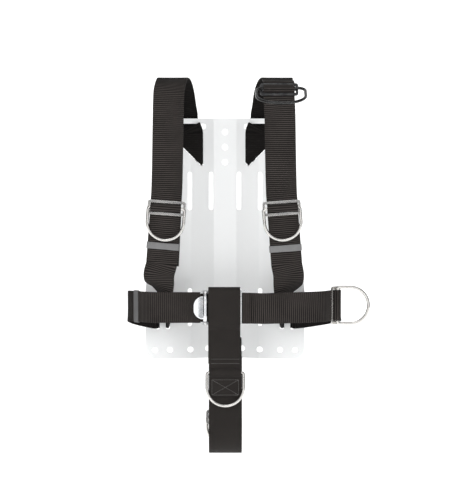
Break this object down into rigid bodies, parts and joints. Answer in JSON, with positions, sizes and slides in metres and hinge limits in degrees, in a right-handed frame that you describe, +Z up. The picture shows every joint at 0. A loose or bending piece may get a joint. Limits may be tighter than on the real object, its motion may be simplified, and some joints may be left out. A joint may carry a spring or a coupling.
{
  "type": "diving backplate and harness",
  "caption": "Bent steel backplate with ribbed webbing harness: shoulder straps, waist belt with cam buckle, crotch strap, D-rings and slides.",
  "frame": {"origin": "midway between the two tank-bolt holes, on the rear face of the plate's channel", "axes": "+Z up along the wearer's spine, -Y forward out of the chest, +X towards the wearer's left"},
  "size_m": [0.402, 0.1863, 0.6229],
  "materials": {
    "plate_steel": "bead-blasted bright stainless steel",
    "webbing": "ribbed black nylon webbing",
    "polished_steel": "polished stainless steel wire and slides",
    "buckle_steel": "satin stainless steel sheet",
    "dark_slide": "black coated slide",
    "band_rubber": "grey inner-tube rubber",
    "hose_rubber": "smooth black rubber"
  },
  "bodies": {
    "harness": {"backplate": "plate_steel", "buckle_frame": "buckle_steel", "buckle_pin": "buckle_steel", "crotch_loop": "webbing", "crotch_rear_loop": "webbing", "crotch_slide": "polished_steel", "crotch_strap": "webbing", "crotch_strap_top": "webbing", "crotch_tab": "webbing", "crotch_tail": "webbing", "hip_loop": "webbing", "hip_slide": "polished_steel", "hose_loop": "webbing", "hose_slide": "dark_slide", "left_belt_front": "webbing", "left_belt_side": "webbing", "left_chest_strap": "webbing", "left_lower_strap": "webbing", "left_neck_slide": "polished_steel", "left_neck_strap": "webbing", "left_neck_tail": "webbing", "left_shoulder_loop": "webbing", "left_shoulder_slide": "polished_steel", "left_shoulder_strap": "webbing", "left_side_strap": "webbing", "left_waist_link": "webbing", "right_belt_front": "webbing", "right_belt_side": "webbing", "right_lower_strap": "webbing", "right_neck_slide": "polished_steel", "right_neck_strap": "webbing", "right_neck_tail": "webbing", "right_shoulder_loop": "webbing", "right_shoulder_slide": "polished_steel", "right_shoulder_strap": "webbing", "right_side_strap": "webbing", "right_strap_tail": "webbing", "right_waist_link": "webbing"},
    "right_shoulder_ring_body": {"right_shoulder_ring": "polished_steel"},
    "left_shoulder_ring_body": {"left_shoulder_ring": "polished_steel"},
    "hip_ring_body": {"hip_ring": "polished_steel"},
    "hose_ring_body": {"hose_ring": "hose_rubber"},
    "crotch_ring_front_body": {"crotch_ring_front": "polished_steel"},
    "crotch_ring_rear_body": {"crotch_ring_rear": "polished_steel"},
    "buckle_lever_body": {"buckle_lever": "buckle_steel"},
    "right_light_band_body": {"right_light_band": "band_rubber"},
    "left_light_band_body": {"left_light_band": "band_rubber"},
    "belt_band_body": {"belt_band": "band_rubber"}
  },
  "joints": [
    {"name": "right_shoulder_ring_swing", "type": "hinge", "parent": "harness", "child": "right_shoulder_ring_body", "pos_m": [-0.0957, -0.1251, 0.04139], "axis": [-0.9973, 0, 0.0732], "range_deg": [0, 165]},
    {"name": "left_shoulder_ring_swing", "type": "hinge", "parent": "harness", "child": "left_shoulder_ring_body", "pos_m": [0.0927, -0.1251, 0.04129], "axis": [-0.9973, 0, -0.0732], "range_deg": [0, 165]},
    {"name": "hip_ring_swing", "type": "hinge", "parent": "harness", "child": "hip_ring_body", "pos_m": [0.18591, -0.08979, -0.1205], "axis": [0, 0, 1], "range_deg": [-115, 50]},
    {"name": "hose_ring_swing", "type": "hinge", "parent": "harness", "child": "hose_ring_body", "pos_m": [0.091, -0.11264, 0.23729], "axis": [1, 0, 0], "range_deg": [-96, 29]},
    {"name": "crotch_ring_front_swing", "type": "hinge", "parent": "harness", "child": "crotch_ring_front_body", "pos_m": [0.0004, -0.12605, -0.2285], "axis": [-1, 0, 0], "range_deg": [0, 155]},
    {"name": "crotch_ring_rear_swing", "type": "hinge", "parent": "harness", "child": "crotch_ring_rear_body", "pos_m": [-0.0018, -0.00918, -0.31542], "axis": [1, 0, 0], "range_deg": [-3, 160]},
    {"name": "buckle_lever_open", "type": "hinge", "parent": "harness", "child": "buckle_lever_body", "pos_m": [-0.0324, -0.1251, -0.122], "axis": [0, 0, 1], "range_deg": [0, 95]},
    {"name": "right_light_band_slide", "type": "slide", "parent": "harness", "child": "right_light_band_body", "axis": [0.0732, 0, 0.9973], "range_m": [-0.014, 0.034]},
    {"name": "left_light_band_slide", "type": "slide", "parent": "harness", "child": "left_light_band_body", "axis": [-0.0732, 0, 0.9973], "range_m": [-0.014, 0.04]},
    {"name": "belt_band_slide", "type": "slide", "parent": "harness", "child": "belt_band_body", "axis": [-0.7071, 0.7071, 0], "range_m": [-0.016, 0.007]}
  ]
}
